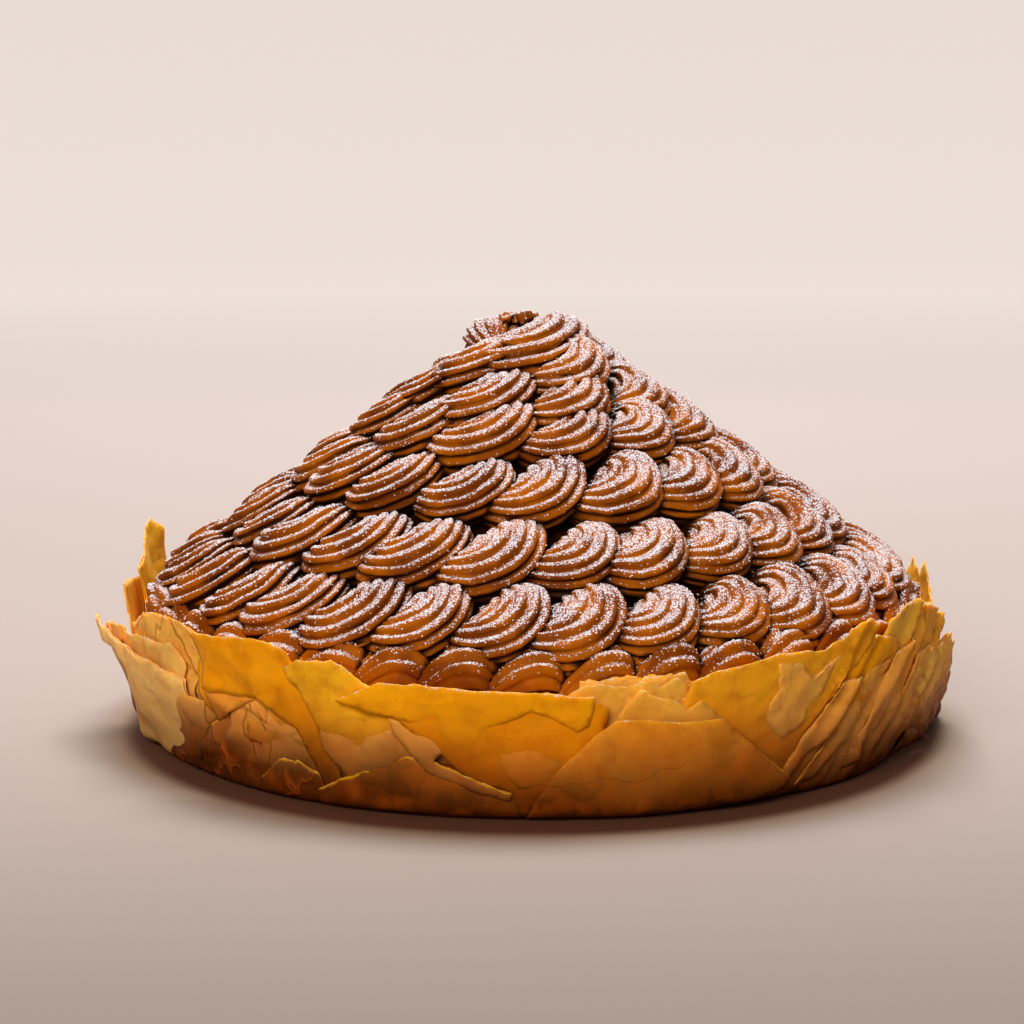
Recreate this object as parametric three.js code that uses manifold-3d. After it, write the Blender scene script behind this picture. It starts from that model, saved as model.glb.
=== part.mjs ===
// A mont blanc cake: a low case of crisp, folded pastry leaves, filled with a
// steep cone of chestnut cream that is piped as rings of ribbed shells.
// Millimetres, +Z up. The origin is the middle of the flat base, -Y is the front.

import * as THREE from "three";
import { mergeVertices } from "three/addons/utils/BufferGeometryUtils.js";
import { TessellateModifier } from "three/addons/modifiers/TessellateModifier.js";
import Module from "manifold-3d";

const wasm = await Module();
wasm.setup();

// ---- driving dimensions --------------------------------------------------

// Pastry case.
const BASE_RADIUS = 105;
const WALL_FLARE = 0.12; // outward run of the wall for each millimetre up
const WALL_THICKNESS = 2.5;
const WALL_HEIGHT = 31;
const WALL_WAVE = { height: 1.2, waves: [7, 3] }; // of the wall's own hidden edge, round the case
const FLOOR_THICKNESS = 3;
const CASE_SIDES = 39;
const LEAF_THICKNESS = 1.3;
const LEAF_STEP = 32; // longest edge inside a leaf's faces
const LEAF_SPLITS = 8; // rounds of splitting that reach it
const LEAF_WAVE = 0.8; // in and out of a leaf's face
const LEAF_WAVES = [[0.31, 0.17], [-0.11, 0.23]]; // radians a millimetre, along and up
const LIFT_NEAR = 0.01; // keeps a corner's pull on the leaf finite at the corner itself
const LEAF_FOOT = 12; // below this height every leaf lies on the wall
const FLARE = 5; // a leaf further out than this stands free of the wall
const GAP = 0.35; // clearance between the pastry and the cream
const MERGE = 1e-3; // corners nearer than this are one
const SAME = 1e-4; // the same for a piece before it is joined

// Cream cone, on which the middles of the shells lie.
const CONE_TOP = 119;
const CONE_SLOPE = Math.atan(0.7508);
const CORE_DEPTH = 7; // of the plain core below the shells' middles
const CORE_SIDES = 20;

// Rings of shells: how many, radius of the ring, bearing of one shell, size,
// and how many ribs a shell shows.
const RINGS = [
  { shells: 29, radius: 92.5, bearing: 6.4, size: 1, ribs: 3 },
  { shells: 23, radius: 74, bearing: 6.5, size: 1, ribs: 3 },
  { shells: 17, radius: 55, bearing: 1.1, size: 1, ribs: 3 },
  { shells: 11, radius: 38.5, bearing: 11.5, size: 1, ribs: 3 },
  { shells: 7, radius: 28, bearing: 18.7, size: 0.97, ribs: 3 },
  { shells: 4, radius: 17.5, bearing: 26.7, size: 0.97, ribs: 3 },
];
const BORDER = { shells: 37, radius: 105.2, bearing: -1, size: 1, ribs: 2, sink: 3.6, turn: 14 };

// The crest is two larger shells, back to back: where the middle lies, how far
// the shell leans towards its own front, and which way that front faces.
const CREST = [
  { middle: [-2, -3.5, 109.4], lean: 20, facing: 0, size: 1.32, ribs: 3 },
  { middle: [-2, 4.5, 109.8], lean: 16, facing: 155, size: 1.15, ribs: 3 },
];

// Hand-made unevenness of the shells.
const TURN_JITTER = 8; // degrees in the slope's plane
const SIZE_JITTER = 0.07;
const BEARING_JITTER = 1.6; // millimetres along the ring

// One shell, seen square to the slope, is a ribbed rope bent round a pivot up
// and to its left. Each station has the bearing round the pivot, the rope's
// near and far reach from it, the height of its middle and half its height.
const SHELL = {
  pivot: [-5, 5],
  stations: [
    [-110, 2, 19, -3.8, 6.6],
    [-56, 0.4, 21.8, -2.6, 7.6],
    [4, 0.8, 19, -3.2, 6.8],
  ],
  tail: [-151, 9, -8],
  head: [55, 7.5, -8.2],
  tilt: 0.2, // the rope's outer side lies this much higher for each millimetre
};

// A border shell is a shorter, fatter rope that arches along the rim.
const BORDER_SHELL = {
  pivot: [0, -24],
  stations: [
    [76, 17.6, 31, 0, 6],
    [110, 19.4, 30, -1.4, 4.8],
  ],
  tail: [59, 24, -6],
  head: [131, 25, -6.5],
  tilt: 0,
};
const RIB_DEPTH = 0.18; // of the rope's half width
const ROPE_BELLY = 1.1; // how far the rope reaches down into the core, in half heights
const RIB_ARC = [-10, 190]; // degrees of the rope's section that carry ribs

// ---- small helpers --------------------------------------------------------

const rad = THREE.MathUtils.degToRad;

// The same even scatter from -1 to 1 on every run.
function scatter(a, b) {
  const wave = Math.sin(a * 127.1 + b * 311.7) * 43758.5453;
  return 2 * (wave - Math.floor(wave)) - 1;
}

function polar(radius, bearing, z) {
  return new THREE.Vector3(radius * Math.sin(bearing), -radius * Math.cos(bearing), z);
}

function solidOf(points, faces) {
  const geometry = new THREE.BufferGeometry().setFromPoints(points);
  geometry.setIndex(faces.flat());
  return manifoldOf(mergeVertices(geometry, SAME));
}

function manifoldOf(geometry) {
  return new wasm.Manifold(new wasm.Mesh({
    numProp: 3,
    vertProperties: new Float32Array(geometry.attributes.position.array),
    triVerts: new Uint32Array(geometry.index.array),
  }));
}

// A closed skin over rings with equal counts of points. Each end is closed
// by a fan to its tip, or flat when no tip is given.
function loft(rings, startTip, endTip) {
  const count = rings[0].length;
  const points = rings.flat();
  const faces = [];
  for (let ring = 0; ring < rings.length - 1; ring += 1) {
    for (let i = 0; i < count; i += 1) {
      const a = ring * count + i;
      const b = ring * count + (i + 1) % count;
      faces.push([a, b, b + count], [a, b + count, a + count]);
    }
  }
  const close = (first, tip, flip) => {
    if (tip) {
      points.push(tip);
      for (let i = 0; i < count; i += 1) {
        const fan = [first + i, first + (i + 1) % count, points.length - 1];
        faces.push(flip ? fan.reverse() : fan);
      }
      return;
    }
    const outline = points.slice(first, first + count).map((p) => new THREE.Vector2(p.x, p.y));
    for (const face of THREE.ShapeUtils.triangulateShape(outline, [])) {
      const cap = face.map((i) => first + i);
      faces.push(flip ? cap.reverse() : cap);
    }
  };
  close(0, startTip, true);
  close((rings.length - 1) * count, endTip, false);
  return solidOf(points, faces);
}

// Joins solids into one. Corners closer than MERGE are made one, and what that
// pinches off is left out until a single skin is left: sealed hollows are
// filled in this way, and loose scraps dropped.
function fuse(solids) {
  let pieces = [wasm.Manifold.union(solids)];
  let geometry;
  do {
    geometry = geometryOf(pieces.reduce((a, b) => (a.volume() > b.volume() ? a : b)));
    pieces = manifoldOf(mergeVertices(geometry, MERGE)).decompose();
  } while (pieces.length > 1);
  return geometry;
}

function geometryOf(solid) {
  const { vertProperties, triVerts } = solid.getMesh();
  const geometry = new THREE.BufferGeometry();
  geometry.setAttribute("position", new THREE.BufferAttribute(vertProperties, 3));
  geometry.setIndex(new THREE.BufferAttribute(triVerts, 1));
  return geometry.toNonIndexed();
}

// ---- pastry case ----------------------------------------------------------

const wallRadius = (z) => BASE_RADIUS + WALL_FLARE * z;

function circle(radiusAt, heightAt) {
  return Array.from({ length: CASE_SIDES }, (_, i) => {
    const bearing = (2 * Math.PI * i) / CASE_SIDES;
    const z = heightAt(bearing);
    return polar(radiusAt(z), bearing, z);
  });
}

function bowl() {
  const { height, waves } = WALL_WAVE;
  const wave = (bearing) => height * Math.sin(waves[0] * bearing) * Math.cos(waves[1] * bearing);
  const edge = (bearing) => WALL_HEIGHT + wave(bearing);
  const inner = (z) => wallRadius(z) - WALL_THICKNESS;
  return loft([
    circle(wallRadius, () => 0),
    circle(wallRadius, edge),
    circle(inner, edge),
    circle(inner, () => FLOOR_THICKNESS),
  ]);
}

// A leaf's outline is a few corners: bearing in degrees, height, and how far
// the leaf stands off the wall there.
function leaf(corners) {
  const along = rad(1) * BASE_RADIUS;
  const outline = corners.map(([bearing, z]) => new THREE.Vector2(bearing * along, z));
  const anchors = corners.map(([bearing, z, lift]) => ({ s: bearing * along, z, lift }));
  const flat = new THREE.ShapeGeometry(new THREE.Shape(outline)).toNonIndexed();
  const split = new TessellateModifier(LEAF_STEP, LEAF_SPLITS).modify(flat);
  split.deleteAttribute("normal");
  split.deleteAttribute("uv");
  const sheet = mergeVertices(split, MERGE);
  const place = sheet.attributes.position;
  const front = [];
  const back = [];
  for (let i = 0; i < place.count; i += 1) {
    const s = place.getX(i);
    const z = place.getY(i);
    let weights = 0;
    let lift = 0;
    for (const anchor of anchors) {
      const weight = 1 / (Math.hypot(s - anchor.s, z - anchor.z) + LIFT_NEAR) ** 3;
      weights += weight;
      lift += weight * anchor.lift;
    }
    const wave = LEAF_WAVES.reduce((height, [a, b]) => height * Math.sin(a * s + b * z), LEAF_WAVE);
    const outer = wallRadius(z) + lift / weights + wave + LEAF_THICKNESS;
    const low = z < WALL_HEIGHT - WALL_WAVE.height;
    const backed = z < LEAF_FOOT || (low && outer - wallRadius(z) < FLARE);
    const inner = backed ? wallRadius(z) - WALL_THICKNESS / 2 : outer - LEAF_THICKNESS;
    front.push(polar(outer, s / BASE_RADIUS, z));
    back.push(polar(inner, s / BASE_RADIUS, z));
  }
  return sheetSolid(sheet.index.array, front, back);
}

// A thin solid between two faces that are split into triangles alike.
function sheetSolid(index, front, back) {
  const faces = [];
  const edges = new Map();
  for (let i = 0; i < index.length; i += 3) {
    const face = [index[i], index[i + 1], index[i + 2]];
    faces.push(face, face.map((v) => v + front.length).reverse());
    face.forEach((a, k) => edges.set(`${a} ${face[(k + 1) % 3]}`, [a, face[(k + 1) % 3]]));
  }
  for (const [a, b] of edges.values()) {
    if (edges.has(`${b} ${a}`)) continue;
    faces.push([b, a, a + front.length], [b, a + front.length, b + front.length]);
  }
  return solidOf([...front, ...back], faces);
}

// The leaves that show at the front, from left to right.
const FRONT_LEAVES = [
  // tall leaf at the back left, and the small one below it
  [[-108, 14, 0], [-107, 50, 1], [-103, 54, 2], [-98, 49, 1], [-93, 44, 1], [-92, 14, 0]],
  [[-98, 2, 0], [-97, 40, 3], [-88, 41, 4], [-84, 30, 3], [-86, 2, 0]],
  // pale leaf that flares out at the far left
  [[-92, 1, 0], [-91, 20, 8], [-88, 31, 12], [-76, 27, 8], [-67, 23, 4], [-61, 18, 2], [-66, 0.5, 0]],
  [[-86, 20, 1], [-80, 40, 3], [-73, 37, 0.5], [-66, 43, 1.5], [-60, 37, 0.5], [-54, 38, 0.5],
    [-52, 18, 0]],
  // broad leaf with an upright left edge, and the wrinkled one under it
  [[-64, 1, 0], [-56, 8, 0.5], [-42, 26, 1], [-28, 6, 0.5], [-31, 1, 0]],
  [[-55, 22, 1], [-54, 40, 2.5], [-44, 42.4, 1.5], [-36, 41.8, 1], [-35, 37, 1], [-31, 16, 0.5],
    [-28, 5, 0], [-42, 24, 1]],
  // narrow leaf left of the front
  [[-32, 14, 0.5], [-35.5, 35.5, 2.5], [-27.3, 39.4, 1], [-23, 33, 1], [-20, 12, 0]],
  // large front leaf, with its pointed tip at the upper left
  [[-27, 2, 0], [-27, 10, 0.6], [-21, 27, 1.6], [-28, 28.5, 2.6], [-21.8, 34.2, 2.2], [-12.6, 34.6, 1.8],
    [2.3, 33.4, 1.6], [8, 32, 1], [8, 8, 0.5], [0, 2, 0]],
  [[-32, 2, 0.6], [-27, 8.4, 1.4], [-16.7, 15.6, 1.8], [-2, 3.9, 0.8], [-6, 0.5, 0]],
  // torn piece behind the front right flap, and the flap
  [[4, 20, 0], [13, 33.7, 1], [17.5, 31, 1], [20.2, 27.5, 1], [22.5, 30, 1], [27, 20, 0]],
  [[-2, 3.9, 1], [10.3, 25.4, 2.6], [24.9, 24.6, 2.8], [38.2, 4.8, 1.4], [36, 2.4, 1],
    [17.5, 1, 0.6], [0.5, 0.7, 0.4]],
  // right leaf, the loose strip on it and the pleats beyond
  [[18, 20, 0], [20.9, 35.6, 1.4], [38.8, 39.1, 1.2], [51.3, 44.1, 2.5], [55, 42, 2], [45, 22, 1],
    [37, 6, 0]],
  [[32.8, 24.6, 1.6], [34.8, 37.8, 2.2], [42, 34, 2], [40, 20, 1.4], [35, 19, 1.2]],
  [[36, 2, 0], [37.7, 11, 1.4], [54, 36, 2.8], [63.6, 38, 3], [67, 28, 2.4], [60, 2, 0]],
  [[56, 12, 1], [55, 34, 2.2], [60, 43, 3.6], [68, 43.8, 3], [76, 38, 3.4], [84, 40, 4], [86, 24, 2.6],
    [78, 4, 0]],
  // low loose flakes and the spikes at the right
  [[78, 0.6, 0], [80, 14, 6], [86, 20, 8.5], [93, 16, 7.5], [96, 2, 4], [88, 0.4, 2]],
  [[86, 22, 1], [92, 34, 3], [99, 43, 3.4], [101, 38, 3], [105, 42, 3.2], [110, 30, 1]],
];

// The same kind of leaves round the hidden side.
const BACK_LEAVES = { from: 104, to: 250, pitch: 14.6, foot: 1, height: 38, rise: 4.5, lift: 2.2 };

function backLeaves() {
  const { from, to, pitch, foot, height, rise, lift } = BACK_LEAVES;
  const leaves = [];
  for (let bearing = from, i = 1; bearing < to; bearing += pitch, i += 1) {
    const reach = pitch * (1.1 + 0.25 * scatter(i, 1));
    const lean = pitch * 0.35 * scatter(i, 2);
    const top = height + rise * scatter(i, 3);
    const off = lift * (1 + 0.6 * scatter(i, 4));
    leaves.push([
      [bearing - reach / 2, foot, 0],
      [bearing - reach / 2 + lean, top - 5 - 2 * scatter(i, 5), off],
      [bearing - reach / 4 + lean, top, off],
      [bearing + reach / 3 + lean, top - 3 + 2 * scatter(i, 6), 0.8 * off],
      [bearing + reach / 1.7, 0.5 * top, 0.6 * off],
      [bearing + reach / 2, foot, 0],
    ]);
  }
  return leaves;
}

function filoCase() {
  return fuse([bowl(), ...[...FRONT_LEAVES, ...backLeaves()].map(leaf)]);
}

// ---- chestnut cream -------------------------------------------------------

// Lays a plan of the slope round the cone: along the ring, up the slope, out.
function coneFrame(radius, bearing) {
  const slant = radius / Math.cos(CONE_SLOPE);
  return (u, v, n) => {
    const reach = Math.hypot(u, slant - v);
    const turn = Math.atan2(u, slant - v) / Math.cos(CONE_SLOPE);
    const across = reach * Math.cos(CONE_SLOPE) + n * Math.sin(CONE_SLOPE);
    const height = CONE_TOP - reach * Math.sin(CONE_SLOPE) + n * Math.cos(CONE_SLOPE);
    return polar(across, bearing + turn, height);
  };
}

function crestFrame({ middle, lean, facing }) {
  const above = new THREE.Vector3(0, 0, 1);
  const across = new THREE.Vector3(1, 0, 0).applyAxisAngle(above, rad(facing));
  const up = above.clone().cross(across).applyAxisAngle(across, rad(lean));
  const out = above.clone().applyAxisAngle(across, rad(lean));
  return (u, v, n) => new THREE.Vector3(...middle).addScaledVector(across, u)
    .addScaledVector(up, v).addScaledVector(out, n);
}

// Holds cream that would reach the leaves clear of them.
function insideCase(point) {
  const reach = Math.hypot(point.x, point.y);
  const share = Math.min(1, (wallRadius(point.z) - WALL_THICKNESS - GAP) / reach);
  return point.set(point.x * share, point.y * share, point.z);
}

// The rope's section as shares of its half width and half height: ribs over
// the part that shows, and one point that is sunk in the core.
function ropeSection(ribs) {
  const [start, end] = RIB_ARC.map(rad);
  const section = Array.from({ length: 2 * ribs - 1 }, (_, i) => {
    const angle = end - ((end - start) * i) / (2 * ribs - 2);
    const reach = i % 2 ? 1 - RIB_DEPTH : 1;
    return [reach * Math.cos(angle), reach * Math.sin(angle)];
  });
  section.push([0, -ROPE_BELLY]);
  return section;
}

function pipedShell(shape, ribs, frame, size, turn) {
  const section = ropeSection(ribs);
  const at = (bearing, reach, height) => {
    const u = shape.pivot[0] + reach * Math.cos(rad(bearing));
    const v = shape.pivot[1] + reach * Math.sin(rad(bearing));
    return frame(
      size * (u * Math.cos(turn) - v * Math.sin(turn)),
      size * (u * Math.sin(turn) + v * Math.cos(turn)),
      size * height,
    );
  };
  const rings = shape.stations.map(([bearing, near, far, middle, half]) => section.map(
    ([across, up]) => {
      const aside = (across * (far - near)) / 2;
      return at(bearing, (near + far) / 2 + aside, middle + up * half + shape.tilt * aside);
    },
  ));
  return loft(rings, at(...shape.tail), at(...shape.head));
}

function ringOfShells(ring, seed) {
  const shells = [];
  for (let i = 0; i < ring.shells; i += 1) {
    const slip = (BEARING_JITTER * scatter(i, seed)) / ring.radius;
    const bearing = rad(ring.bearing + (360 * i) / ring.shells) + slip;
    const size = ring.size * (1 + SIZE_JITTER * scatter(i, seed + 0.3));
    const turn = rad(TURN_JITTER * scatter(i, seed + 0.6));
    shells.push(pipedShell(SHELL, ring.ribs, coneFrame(ring.radius, bearing), size, turn));
  }
  return shells;
}

function borderShells() {
  const shells = [];
  for (let i = 0; i < BORDER.shells; i += 1) {
    const bearing = rad(BORDER.bearing + (360 * i) / BORDER.shells);
    const size = BORDER.size * (1 + 0.5 * SIZE_JITTER * scatter(i, 9));
    const onCone = coneFrame(BORDER.radius, bearing);
    const frame = (u, v, n) => insideCase(onCone(u, v, n - BORDER.sink));
    const turn = rad(BORDER.turn + 0.5 * TURN_JITTER * scatter(i, 9.5));
    shells.push(pipedShell(BORDER_SHELL, BORDER.ribs, frame, size, turn));
  }
  return shells;
}

// Plain core: it fills the case, then runs up inside the shells.
function core() {
  const inner = (z) => wallRadius(z) - WALL_THICKNESS - GAP;
  const drop = CORE_DEPTH / Math.cos(CONE_SLOPE);
  const shoulder = (CONE_TOP - drop - Math.tan(CONE_SLOPE) * inner(0))
    / (1 + Math.tan(CONE_SLOPE) * WALL_FLARE);
  const ring = (radius, z) => Array.from(
    { length: CORE_SIDES },
    (_, i) => polar(radius, (2 * Math.PI * i) / CORE_SIDES, z),
  );
  const floor = FLOOR_THICKNESS + GAP;
  return loft(
    [ring(inner(floor), floor), ring(inner(shoulder), shoulder)],
    null,
    new THREE.Vector3(0, 0, CONE_TOP - drop),
  );
}

function chestnutCream() {
  const shells = RINGS.flatMap(ringOfShells);
  shells.push(...borderShells());
  shells.push(...CREST.map((crest) => pipedShell(SHELL, crest.ribs, crestFrame(crest), crest.size, 0)));
  return fuse([core(), ...shells]);
}

// ---- the cake -------------------------------------------------------------

function named(name, geometry, color, roughness) {
  const material = new THREE.MeshStandardMaterial({ color, roughness, metalness: 0 });
  const mesh = new THREE.Mesh(geometry, material);
  geometry.computeVertexNormals();
  mesh.name = name;
  return mesh;
}

const cake = new THREE.Group();
cake.add(named("filo_case", filoCase(), 0xc98a3a, 0.6));
cake.add(named("chestnut_cream", chestnutCream(), 0x9c5c2c, 0.5));

export default cake;
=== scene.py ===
"""A mont blanc cake: crisp pastry leaves round a cone of piped chestnut cream.

The named values are millimetres and degrees; meshes are made in metres. A
bearing is measured round the cake from its front, -Y, towards +X.
"""

import math

import bpy
import numpy as np
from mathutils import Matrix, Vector, geometry
from mathutils.bvhtree import BVHTree


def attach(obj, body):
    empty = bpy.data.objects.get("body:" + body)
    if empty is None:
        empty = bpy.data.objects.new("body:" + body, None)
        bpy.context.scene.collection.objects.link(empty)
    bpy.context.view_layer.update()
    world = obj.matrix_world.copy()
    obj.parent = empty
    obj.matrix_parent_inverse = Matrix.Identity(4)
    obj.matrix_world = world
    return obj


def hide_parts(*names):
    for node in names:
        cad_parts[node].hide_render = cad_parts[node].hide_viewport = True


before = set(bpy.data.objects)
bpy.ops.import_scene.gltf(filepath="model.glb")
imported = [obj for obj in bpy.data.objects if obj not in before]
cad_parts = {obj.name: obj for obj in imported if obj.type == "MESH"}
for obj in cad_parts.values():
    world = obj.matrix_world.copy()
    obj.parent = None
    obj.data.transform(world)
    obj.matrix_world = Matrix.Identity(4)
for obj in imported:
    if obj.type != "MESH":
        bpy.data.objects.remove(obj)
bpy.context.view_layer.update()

MM = 0.001

# ---- the object's sizes, as in its solids ----

BASE_RADIUS = 105.0
WALL_FLARE = 0.12
WALL_THICKNESS = 2.5
WALL_HEIGHT = 31.0
FLOOR_THICKNESS = 3.0
GAP = 0.35

CONE_TOP = 119.0
CONE_SLOPE = math.atan(0.7508)
CORE_DEPTH = 7.0

# Rings of shells: how many, radius of the ring, bearing of one shell, size.
RINGS = [
    (29, 92.5, 6.4, 1.0),
    (23, 74.0, 6.5, 1.0),
    (17, 55.0, 1.1, 1.0),
    (11, 38.5, 11.5, 1.0),
    (7, 28.0, 18.7, 0.97),
    (4, 17.5, 26.7, 0.97),
]
BORDER = dict(shells=37, radius=105.2, bearing=-1.0, sink=3.6, turn=14.0)
CREST = [
    dict(middle=(-2.0, -3.5, 109.4), lean=20.0, facing=0.0, size=1.32),
    dict(middle=(-2.0, 4.5, 109.8), lean=16.0, facing=155.0, size=1.15),
]

TURN_JITTER = 8.0
SIZE_JITTER = 0.07
BEARING_JITTER = 1.6

# Stations of a shell: bearing round its pivot, near and far reach, height of
# the middle, half height. The first and last are its tips.
SHELL = dict(
    pivot=(-5.0, 5.0),
    stations=[
        (-152, 9.0, 9.0, -8.0, 0.0),
        (-122, 3.0, 17.0, -4.8, 5.8),
        (-80, 0.8, 21.5, -2.8, 7.4),
        (-35, 0.2, 21.0, -2.6, 7.6),
        (8, 0.8, 18.5, -3.2, 6.6),
        (56, 7.5, 7.5, -8.2, 0.0),
    ],
    tilt=0.2,
    strands=14,
    depth=0.2,
)
BORDER_SHELL = dict(
    pivot=(0.0, -24.0),
    stations=[
        (59, 24.0, 24.0, -6.0, 0.0),
        (68, 18.2, 29.8, -1.4, 4.8),
        (84, 17.4, 31.2, 0.6, 6.2),
        (103, 18.6, 30.2, -0.8, 5.0),
        (120, 21.5, 28.5, -3.8, 2.8),
        (131, 25.0, 25.0, -6.5, 0.0),
    ],
    tilt=0.0,
    strands=8,
    depth=0.3,
)
RIB_ROUNDNESS = 0.65
STEPS_ALONG = 27
POINTS_A_STRAND = 6
STRAND_JITTER = 0.07
STRAND_START, START_JITTER = -10, 8
STRAND_TWIST = 10
STRIATION = 0.14
TIP_TRIM = 0.02
# Lumps: how wide and how high.
SHELL_LUMPS = ((5.0, 0.35), (2.0, 0.3 * 0.35))

# ---- small helpers ----

CELL_PRIMES = (73856093, 19349663, 83492791)
SEED_PRIME = 2654435761
MIX_ROUNDS = ((15, 2246822519), (13, 3266489917))
WORD = 0xFFFFFFFF


def scatter(a, b):
    """From -1 to 1, even and the same on every run; a and b tell draws apart."""
    wave = math.sin(a * 127.1 + b * 311.7) * 43758.5453
    return 2 * (wave - math.floor(wave)) - 1


def noise(points, seed):
    """Smooth noise from -1 to 1 at each row of points, one unit a cell."""
    base = np.floor(points).astype(np.int64)
    part = points - base
    blend = part * part * (3 - 2 * part)
    total = np.zeros(len(points))
    for corner in range(8):
        step = np.array([corner & 1, corner >> 1 & 1, corner >> 2 & 1])
        x, y, z = ((base + step) * CELL_PRIMES).T
        mixed = ((x ^ y ^ z) + seed * SEED_PRIME) & WORD
        for shift, prime in MIX_ROUNDS:
            mixed = ((mixed ^ (mixed >> shift)) * prime) & WORD
        value = (mixed ^ (mixed >> 16)) / WORD * 2 - 1
        weight = np.prod(np.where(step, blend, 1 - blend), axis=1)
        total += weight * value
    return total


def between(value, low, high):
    """Smooth step from 0 at low to 1 at high."""
    t = np.clip((value - low) / (high - low), 0, 1)
    return t * t * (3 - 2 * t)


def polar(radius, bearing, z):
    x, y = radius * np.sin(bearing), -radius * np.cos(bearing)
    return np.stack([x, y, z + 0 * bearing], axis=-1)


def smooth_between(keys, values, at):
    """Cubic curve through the values, sampled at the given places."""
    keys = np.asarray(keys, float)
    values = np.asarray(values, float)
    slopes = np.gradient(values, keys)
    i = np.clip(np.searchsorted(keys, at) - 1, 0, len(keys) - 2)
    gap = keys[i + 1] - keys[i]
    t = (at - keys[i]) / gap
    return (
        (2 * t**3 - 3 * t**2 + 1) * values[i]
        + (t**3 - 2 * t**2 + t) * gap * slopes[i]
        + (3 * t**2 - 2 * t**3) * values[i + 1]
        + (t**3 - t**2) * gap * slopes[i + 1]
    )


def make_mesh(name, points, faces, material, smooth=True):
    """A piece of the cake, from points in millimetres."""
    mesh = bpy.data.meshes.new(name)
    mesh.from_pydata((points * MM).tolist(), [], faces)
    mesh.materials.append(material)
    mesh.polygons.foreach_set("use_smooth", [smooth] * len(mesh.polygons))
    mesh.update()
    piece = bpy.data.objects.new(name, mesh)
    bpy.context.scene.collection.objects.link(piece)
    return piece


def read(items, name, width, kind=float):
    """One value, or one row of them, of each vertex or triangle."""
    values = np.empty(len(items) * width, kind)
    items.foreach_get(name, values)
    return values.reshape(-1, width)


def joined(parts):
    """Points and faces of many parts as one list of each."""
    faces, first = [], 0
    for points, own in parts:
        faces.extend([[v + first for v in face] for face in own])
        first += len(points)
    return np.concatenate([points for points, _ in parts]), faces


# ---- materials ----


class Shader:
    """Builds one material's nodes.

    A ramp runs from one value to another, with what it gives at each.
    """

    def __init__(self, name):
        self.material = bpy.data.materials.new(name)
        self.material.use_nodes = True
        self.tree = self.material.node_tree
        self.surface = self.tree.nodes["Principled BSDF"]

    def feed(self, socket, value):
        """Links a socket's value, or sets a number or a colour."""
        if isinstance(value, bpy.types.NodeSocket):
            self.tree.links.new(value, socket)
        elif socket.type == "RGBA":
            socket.default_value = (*value, 1.0)
        else:
            socket.default_value = value

    def add(self, kind, inputs=(), **settings):
        """Adds a node with its settings and its inputs, and gives its outputs."""
        node = self.tree.nodes.new("ShaderNode" + kind)
        for name, value in settings.items():
            setattr(node, name, value)
        for name, value in dict(inputs).items():
            self.feed(node.inputs[name], value)
        return node.outputs

    def spot(self):
        """The object's own coordinates at each point, in metres."""
        return self.add("TexCoord")["Object"]

    def place(self, stretch=(1, 1, 1)):
        return self.add("Mapping", {"Vector": self.spot(), "Scale": stretch})[0]

    def xyz(self, value):
        return self.add("SeparateXYZ", {0: value})

    def channels(self, colour):
        return self.add("SeparateColor", {0: colour})

    def up(self):
        """How far the surface faces up, from -1 to 1."""
        return self.xyz(self.add("NewGeometry")["Normal"])["Z"]

    def mark(self, name):
        return self.add("Attribute", attribute_name=name)

    def noise(self, scale, detail, stretch=(1, 1, 1), rough=0.5):
        return self.add("TexNoise", {
            "Vector": self.place(stretch), "Scale": scale, "Detail": detail, "Roughness": rough,
        })["Fac"]

    def cells(self, scale, stretch=(1, 1, 1), distance="EUCLIDEAN"):
        inputs = {"Vector": self.place(stretch), "Scale": scale}
        return self.add("TexVoronoi", inputs, feature="F1", distance=distance)

    def math(self, operation, a, b=0.0, clamp=False):
        return self.add("Math", {0: a, 1: b}, operation=operation, use_clamp=clamp)[0]

    def times(self, a, b):
        return self.math("MULTIPLY", a, b)

    def plus(self, a, b):
        return self.math("ADD", a, b)

    def ramp(self, value, low, high, out_low=0.0, out_high=1.0):
        names = ("Value", "From Min", "From Max", "To Min", "To Max")
        inputs = zip(names, (value, low, high, out_low, out_high))
        return self.add("MapRange", inputs, interpolation_type="SMOOTHSTEP")["Result"]

    def mix(self, factor, a, b):
        return self.add("Mix", {0: factor, 6: a, 7: b}, data_type="RGBA")[2]

    def bump(self, height, distance, strength, under=None):
        inputs = {"Height": height, "Distance": distance, "Strength": strength}
        if under is not None:
            inputs["Normal"] = under
        return self.add("Bump", inputs)[0]

    def finish(self, **inputs):
        """Sets the surface's inputs by name, such as Base_Color."""
        for name, value in inputs.items():
            self.feed(self.surface.inputs[name.replace("_", " ")], value)
        return self.material


SOFT_GLOSS = 0.05
SUGAR_WHITE = (0.68, 0.71, 0.79)
DUST_ONSET = 9.0
GRAIN_MIDDLE = 0.55


def dust_mask(shader, cover, grain, reach):
    """White grains: a cell holds one where its random draw is under cover."""
    cells = shader.cells(1 / (grain * MM))
    draw = shader.channels(cells["Color"])[0]
    present = shader.math("SUBTRACT", cover, draw)
    present = shader.math("MULTIPLY", present, DUST_ONSET, clamp=True)
    near = shader.ramp(cells["Distance"], reach, reach * GRAIN_MIDDLE)
    return shader.times(present, near)


CREAM_DEEP = (0.17, 0.033, 0.0003)
CREAM_LIGHT = (0.40, 0.100, 0.0008)
# Painted shade: the near-black colour put where cream closes a point in, in the creases and gaps
# between shells.
CREAM_PAINTED_SHADE = (0.012, 0.002, 0.0)
CREAM_TONE_SCALE = 90
CREAM_TONE = (0.3, 0.7)
CREAM_SHADE_BY_OCCLUSION = (0.1, 0.75, 0.0, 0.97)
CREAM_ROUGHNESS = (0.0, 1.0, 0.55, 0.85)
CREAM_GRAIN_SCALE = 1400
CREAM_BUMP = (0.00015, 0.5)

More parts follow.
